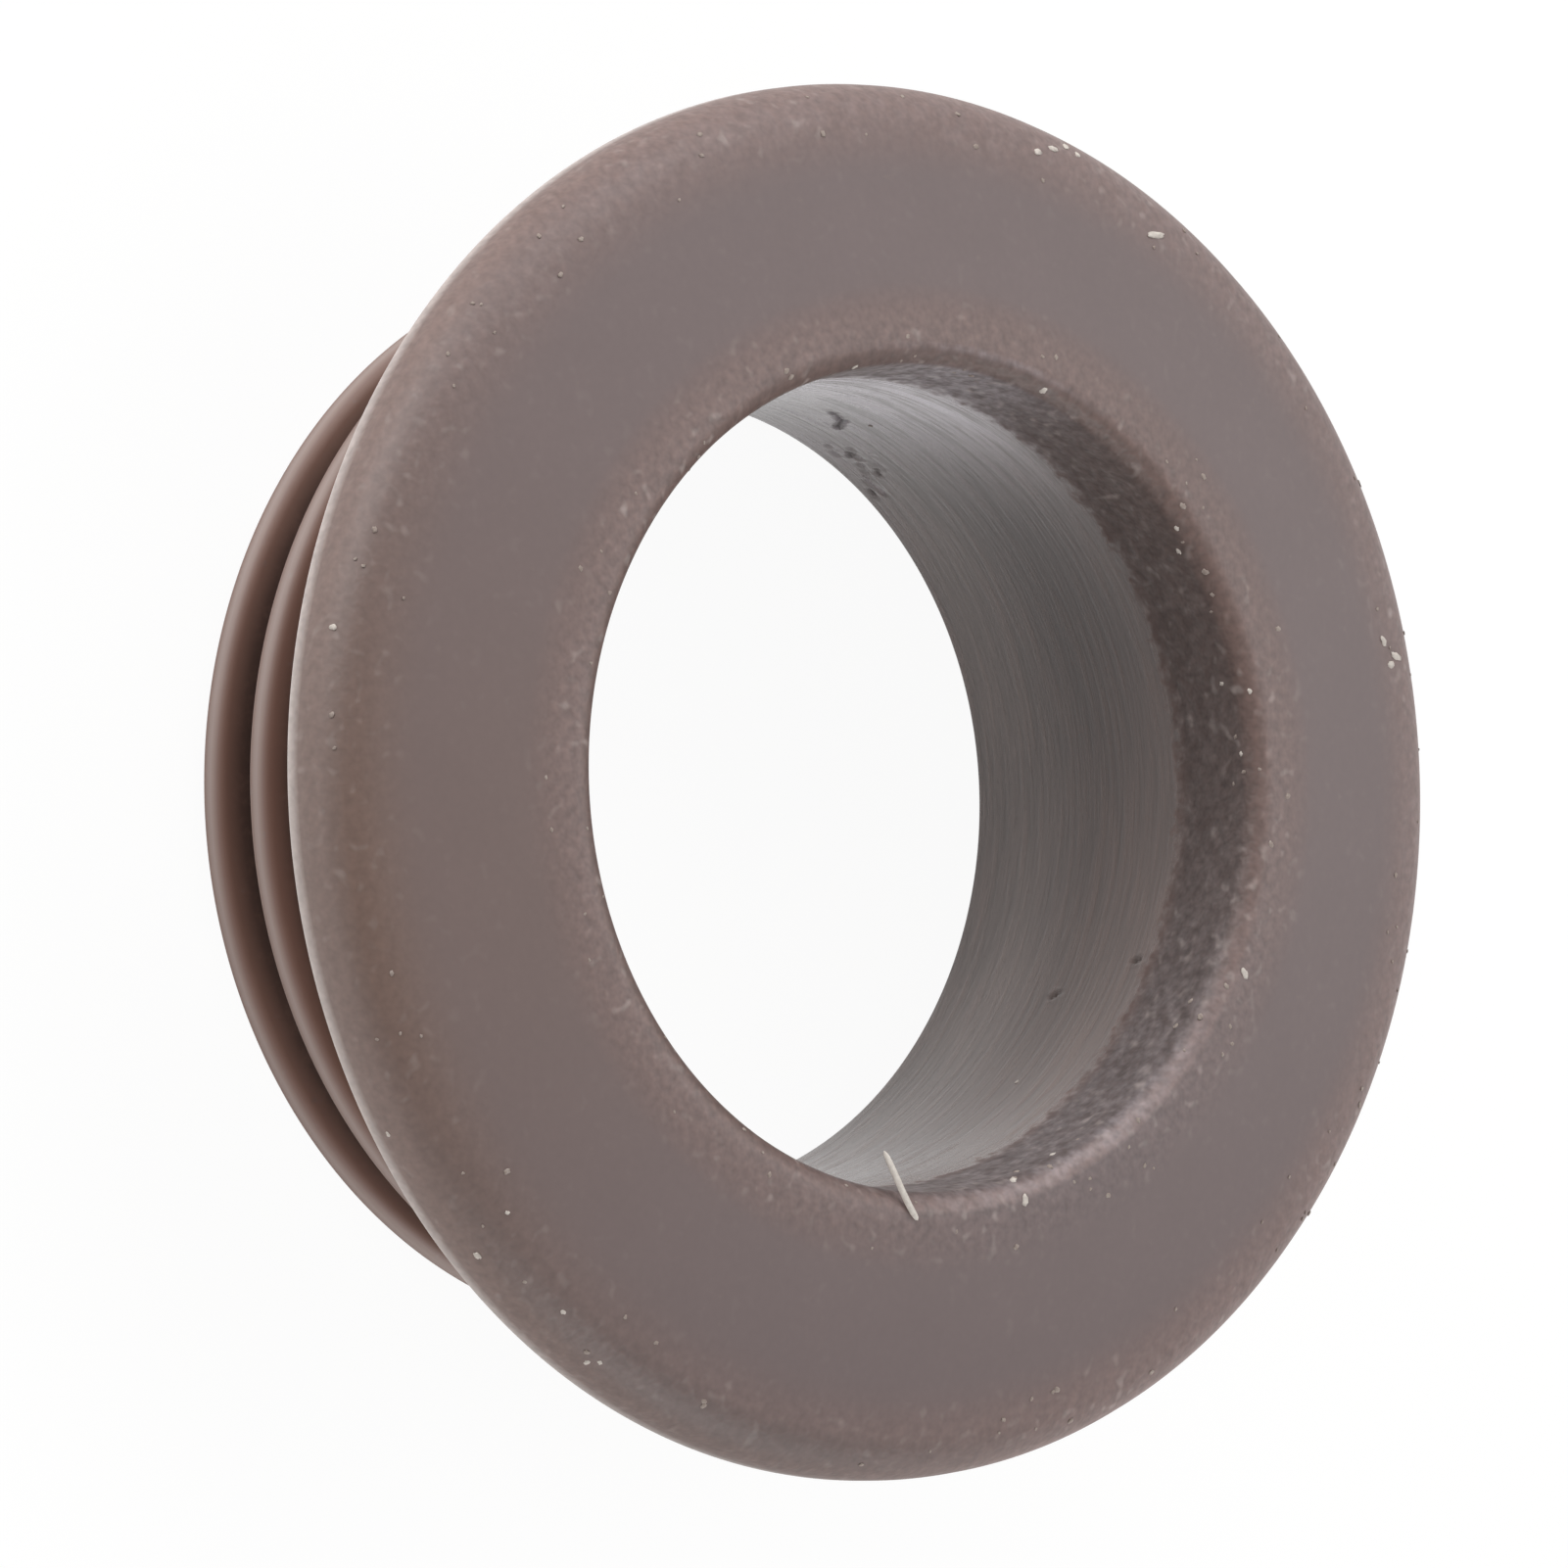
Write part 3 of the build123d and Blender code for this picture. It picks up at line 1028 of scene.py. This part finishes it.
@dataclass(frozen=True)
class Studio:
    """A pale floor, soft lamps, a white surround and the camera, in millimetres and degrees."""

    floor_height: float
    floor_half: float = 400.0
    camera_distance: float = 213.25
    camera_elevation: float = 52.69
    camera_roll: float = 86.32
    camera_right: float = -0.944  # how far the view's middle lies from the seat's middle
    camera_up: float = -0.022
    lens: float = 359.8
    ambient: float = 0.13
    floor_paper: str = "#e9e7e4"
    floor_seen: str = "#4d4d4c"
    floor_glow: float = 0.943
    lamps: tuple[Lamp, ...] = (
        Lamp("behind", (-0.1, 0.75, 0.6), 420, 300, 300, 0.48),
        Lamp("overhead", (0.0, 0.4, 1.0), 420, 300, 300, 0.24),
        Lamp("upper_side", (-1.0, 0.2, 0.7), 420, 300, 300, 0.83),
        Lamp("lower_side", (1.0, 0.1, 0.25), 420, 300, 200, 1.04),
        Lamp("front", (-0.7, -0.7, 0.25), 420, 300, 200, 1.16),
    )

    def floor(self) -> bpy.types.Object:
        """Lays the floor at the barrel's end.

        It is matt and pale.  The eye, a mirror or glass sees a darker paper with a glow added,
        which together come to white where the floor is lit and keep a faint shadow.

        Returns:
            The floor.
        """
        half, z = self.floor_half, self.floor_height
        corners = np.array([(-half, -half, z), (half, -half, z), (half, half, z), (-half, half, z)])
        made = mesh_object("floor", corners, np.array([[0, 1, 2, 3]]))
        material = new_material("matt_paper")
        tree = material.node_tree
        ray = add(tree, "ShaderNodeLightPath")
        seen = self.seen(tree, ray)
        tone = add(tree, "ShaderNodeMix", {
            0: seen, 6: linear(self.floor_paper), 7: linear(self.floor_seen)}, data_type="RGBA")
        paper = add(tree, "ShaderNodeBsdfDiffuse", {"Color": tone.outputs[2]})
        strength = add(tree, "ShaderNodeMath", {0: seen, 1: self.floor_glow}, operation="MULTIPLY")
        glow = add(tree, "ShaderNodeEmission", {"Strength": strength.outputs[0]})
        both = add(tree, "ShaderNodeAddShader", {0: paper.outputs[0], 1: glow.outputs[0]})
        add(tree, "ShaderNodeOutputMaterial", {"Surface": both.outputs[0]})
        made.data.materials.append(material)
        return made

    @staticmethod
    def seen(tree: bpy.types.NodeTree, ray: bpy.types.Node) -> Socket:
        """Returns a socket that is 1 for camera, glossy and transmission rays, and 0 for the rest."""
        glossy = add(tree, "ShaderNodeMath", {
            0: ray.outputs["Is Camera Ray"], 1: ray.outputs["Is Glossy Ray"]}, operation="MAXIMUM")
        return add(tree, "ShaderNodeMath", {
            0: glossy.outputs[0], 1: ray.outputs["Is Transmission Ray"]}, operation="MAXIMUM").outputs[0]

    def surround(self) -> None:
        """Gives the world a soft even light, and plain white where it is seen."""
        world = bpy.data.worlds.new("surround")
        world.use_nodes = True
        tree = world.node_tree
        tree.nodes.clear()
        seen = self.seen(tree, add(tree, "ShaderNodeLightPath"))
        strength = add(tree, "ShaderNodeMix", {0: seen, 2: self.ambient, 3: 1.0}, data_type="FLOAT")
        background = add(tree, "ShaderNodeBackground", {"Strength": strength.outputs[0]})
        background.inputs["Color"].default_value = (1, 1, 1, 1)
        add(tree, "ShaderNodeOutputWorld", {"Surface": background.outputs[0]})
        bpy.context.scene.world = world

    def camera(self) -> bpy.types.Object:
        """Sets up the camera: it looks down at the face from the front, rolled onto its side.

        Unrolled, its right is +X and its back leans from -Y up by the elevation.  The roll
        then turns right and up about the back, and the view's middle is moved along both.

        Returns:
            The scene's camera.
        """
        elevation, roll = math.radians(self.camera_elevation), math.radians(self.camera_roll)
        level = Vector((1, 0, 0))
        upright = Vector((0, math.sin(elevation), math.cos(elevation)))
        back = Vector((0, -math.cos(elevation), math.sin(elevation)))
        right = level * math.cos(roll) + upright * math.sin(roll)
        up = upright * math.cos(roll) - level * math.sin(roll)
        data = bpy.data.cameras.new("camera")
        data.lens = self.lens
        data.sensor_width = 36.0
        data.clip_start, data.clip_end = 0.01, 10.0
        made = bpy.data.objects.new("camera", data)
        place = right * self.camera_right + up * self.camera_up + back * self.camera_distance
        turned = Matrix((right, up, back)).transposed().to_4x4()
        made.matrix_world = Matrix.Translation(place * MM) @ turned
        bpy.context.scene.collection.objects.link(made)
        bpy.context.scene.camera = made
        return made

    def build(self) -> None:
        """Builds the whole studio."""
        self.floor()
        self.surround()
        for lamp in self.lamps:
            lamp.build()
        self.camera()
        bpy.context.scene.view_settings.view_transform = "Standard"


def main() -> None:
    """Builds every piece in order and reports each."""
    logging.basicConfig(level=logging.INFO, format="%(name)s: %(message)s")
    section = Section.from_frame(frame["record"])
    skin = Skin(section, Elastomer())
    outline = section.profile(skin.spacing)
    for piece in (skin.build(), Dust(outline, Lint()).build(), Fibre(Lint()).build()):
        log.info("%s: %d faces", piece.name, len(piece.data.polygons))
    Studio(floor_height=section.barrel_end).build()
    log.info("studio: floor at %.2f mm", section.barrel_end)


if __name__ == "__main__":
    main()
